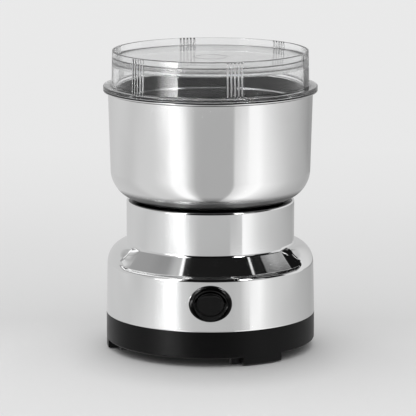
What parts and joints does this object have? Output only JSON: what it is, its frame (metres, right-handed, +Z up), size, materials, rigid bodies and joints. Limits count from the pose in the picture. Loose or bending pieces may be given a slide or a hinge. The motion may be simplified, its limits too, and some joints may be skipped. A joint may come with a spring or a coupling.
{
  "type": "electric coffee grinder",
  "caption": "Electric blade coffee grinder: clear lid with grip ribs, steel bowl on a bright waisted housing with an oval push button, black base on rubber feet.",
  "frame": {"origin": "middle of the footprint, on the surface that the grinder stands on", "axes": "+Z up through the motor's shaft, -Y towards the push button, +X to the right seen from the front"},
  "size_m": [0.1144, 0.1168, 0.1604],
  "materials": {
    "black_plastic": "moulded, semi-gloss",
    "rubber": "matt",
    "zinc_screw": "zinc plated",
    "bright_steel": "mirror polished",
    "satin_steel": "satin outside, bright inside",
    "frame_plastic": "moulded, matt",
    "brass": "turned",
    "bronze": "sintered",
    "phenolic": "moulded, matt",
    "nylon": "moulded",
    "laminations": "stacked sheets",
    "copper": "enamelled wire and bars",
    "carbon": "pressed carbon",
    "spring_steel": "drawn wire",
    "wire_insulation": "smooth",
    "gloss_black": "high gloss",
    "ground_steel": "ground",
    "blade_steel": "stamped stainless",
    "button_black": "moulded, satin",
    "clear_plastic": "clear, polished"
  },
  "bodies": {
    "root": {"base": "black_plastic", "foot_pads": "rubber", "base_screws": "zinc_screw", "cord_gland": "rubber", "housing": "bright_steel", "carrier": "frame_plastic", "seat_gasket": "rubber", "bowl": "satin_steel", "bowl_hub": "brass", "hub_nut": "zinc_screw", "shaft_seal": "rubber", "upper_bearing": "bronze", "lower_bracket": "phenolic", "lower_bearing": "bronze", "thrust_pad": "nylon", "stator_core": "laminations", "field_coils": "copper", "brush_holders": "brass", "carbon_brushes": "carbon", "brush_springs": "spring_steel", "through_bolts": "zinc_screw", "motor_leads": "wire_insulation", "switch_bezel": "gloss_black", "switch_body": "frame_plastic", "switch_nut": "frame_plastic", "switch_cover": "phenolic", "switch_terminals": "brass", "return_spring": "spring_steel"},
    "rotor": {"motor_shaft": "ground_steel", "armature_core": "laminations", "armature_winding": "copper", "commutator": "copper", "fan": "nylon", "blade_spacer": "ground_steel", "blade": "blade_steel", "blade_nut": "ground_steel"},
    "button": {"button_cap": "button_black", "contact_bridge": "brass"},
    "lid": {"lid": "clear_plastic"}
  },
  "joints": [
    {"name": "motor_spin", "type": "hinge", "parent": "root", "child": "rotor", "pos_m": [0, 0, 0.05], "axis": [0, 0, 1], "continuous": true},
    {"name": "button_press", "type": "slide", "parent": "root", "child": "button", "axis": [0, 1, 0], "range_m": [0, 0.003], "stiffness_N_per_m": 700, "springref_m": -0.001, "deforming": ["return_spring"]},
    {"name": "lid_lift", "type": "slide", "parent": "root", "child": "lid", "axis": [0, 0, 1], "range_m": [0, 0.06]}
  ]
}
